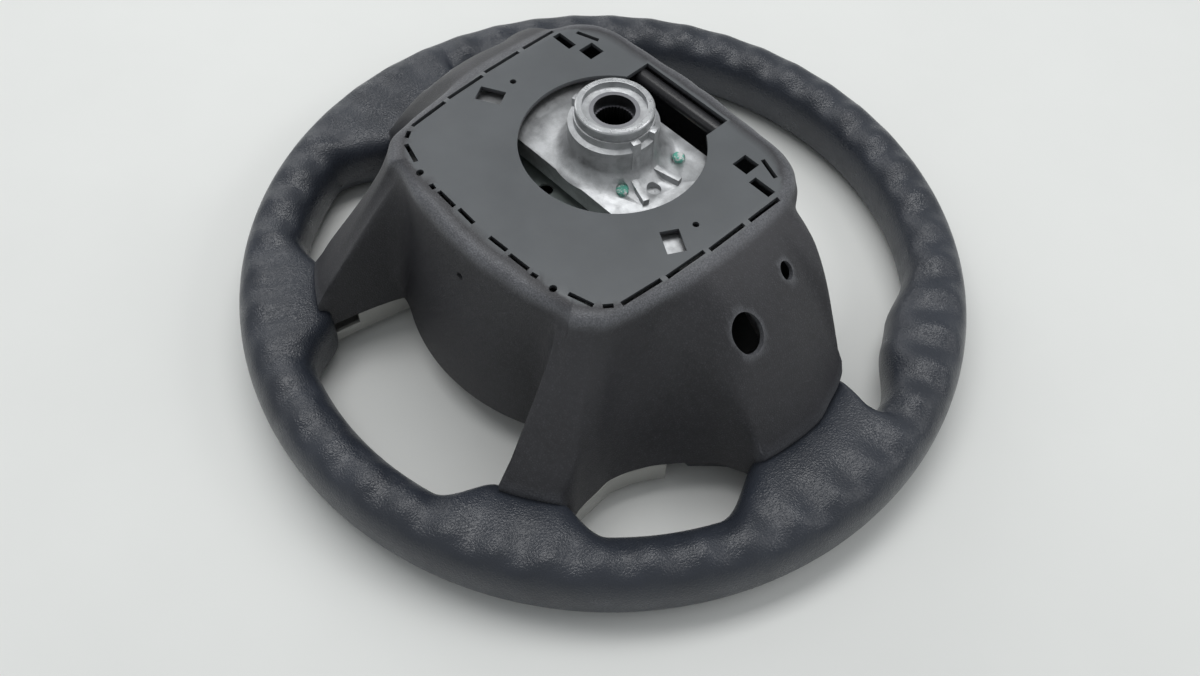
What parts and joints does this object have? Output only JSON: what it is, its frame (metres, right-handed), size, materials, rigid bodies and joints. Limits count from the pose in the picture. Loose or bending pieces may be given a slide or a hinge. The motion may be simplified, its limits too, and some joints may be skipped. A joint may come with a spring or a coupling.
{
  "type": "car steering wheel",
  "caption": "Car steering wheel with padded rim, rear cover, splined hub, sprung horn pad with airbag, and spoke switches.",
  "frame": {"origin": "on the hub axis, in the plane that the rim rests on when the wheel lies face down", "axes": "+Z along the hub axis towards the steering column, +Y towards the top of the wheel, +X to the right when seen from the column side with the top away"},
  "size_m": [0.38, 0.38, 0.1376],
  "materials": {
    "die_cast": "bare die casting, satin",
    "bush_steel": "machined steel with dark serrations",
    "marked_pin": "steel with a dab of green paint",
    "grip_foam": "grained dark blue-grey polyurethane skin, satin gloss",
    "cover_plastic": "fine leather grain, dark grey",
    "plated_steel": "zinc plated sheet and fasteners",
    "contact_copper": "bare copper alloy",
    "spring_steel": "bright spring wire",
    "bezel_plastic": "dark grey moulded plastic",
    "trim_paint": "warm silver paint on plastic",
    "housing_plastic": "plain moulded plastic",
    "pad_plastic": "fine grain, dark grey",
    "gas_can": "drawn steel",
    "bag_cloth": "folded nylon cloth",
    "button_plastic": "fine satin plastic"
  },
  "bodies": {
    "wheel_frame": {"armature": "die_cast", "spline_bush": "bush_steel", "locating_pins": "marked_pin", "rim_grip": "grip_foam", "rear_cover": "cover_plastic", "cover_screws": "plated_steel", "horn_plate": "plated_steel", "airbag_bolts": "plated_steel", "fixed_contacts": "contact_copper", "horn_springs": "spring_steel", "right_spoke_bezel": "bezel_plastic", "left_spoke_bezel": "bezel_plastic", "right_spoke_trim": "trim_paint", "left_spoke_trim": "trim_paint", "right_switch_housing": "housing_plastic", "left_switch_housing": "housing_plastic", "switch_screws": "plated_steel"},
    "horn_pad": {"pad_cover": "pad_plastic", "module_plate": "plated_steel", "inflator": "gas_can", "folded_cushion": "bag_cloth", "inflator_nuts": "plated_steel", "guide_pins": "plated_steel", "moving_contacts": "contact_copper"},
    "right_rocker_body": {"right_rocker": "button_plastic"},
    "right_upper_button_body": {"right_upper_button": "button_plastic"},
    "right_lower_button_body": {"right_lower_button": "button_plastic"},
    "left_rocker_body": {"left_rocker": "button_plastic"},
    "left_upper_button_body": {"left_upper_button": "button_plastic"},
    "left_lower_button_body": {"left_lower_button": "button_plastic"}
  },
  "joints": [
    {"name": "horn_press", "type": "slide", "parent": "wheel_frame", "child": "horn_pad", "axis": [0, 0, 1], "range_m": [0, 0.0018], "stiffness_N_per_m": 9000, "springref_m": -0.002, "deforming": ["horn_springs"]},
    {"name": "right_rocker_tilt", "type": "hinge", "parent": "wheel_frame", "child": "right_rocker_body", "pos_m": [0.112, 0.001, 0.015], "axis": [1, 0, 0], "range_deg": [-3, 3], "stiffness_Nm_per_rad": 0.2},
    {"name": "right_upper_press", "type": "slide", "parent": "wheel_frame", "child": "right_upper_button_body", "axis": [0, 0, 1], "range_m": [0, 0.001], "stiffness_N_per_m": 800, "springref_m": -0.001},
    {"name": "right_lower_press", "type": "slide", "parent": "wheel_frame", "child": "right_lower_button_body", "axis": [0, 0, 1], "range_m": [0, 0.001], "stiffness_N_per_m": 800, "springref_m": -0.001},
    {"name": "left_rocker_tilt", "type": "hinge", "parent": "wheel_frame", "child": "left_rocker_body", "pos_m": [-0.112, 0.001, 0.015], "axis": [1, 0, 0], "range_deg": [-3, 3], "stiffness_Nm_per_rad": 0.2},
    {"name": "left_upper_press", "type": "slide", "parent": "wheel_frame", "child": "left_upper_button_body", "axis": [0, 0, 1], "range_m": [0, 0.001], "stiffness_N_per_m": 800, "springref_m": -0.001},
    {"name": "left_lower_press", "type": "slide", "parent": "wheel_frame", "child": "left_lower_button_body", "axis": [0, 0, 1], "range_m": [0, 0.001], "stiffness_N_per_m": 800, "springref_m": -0.001}
  ]
}
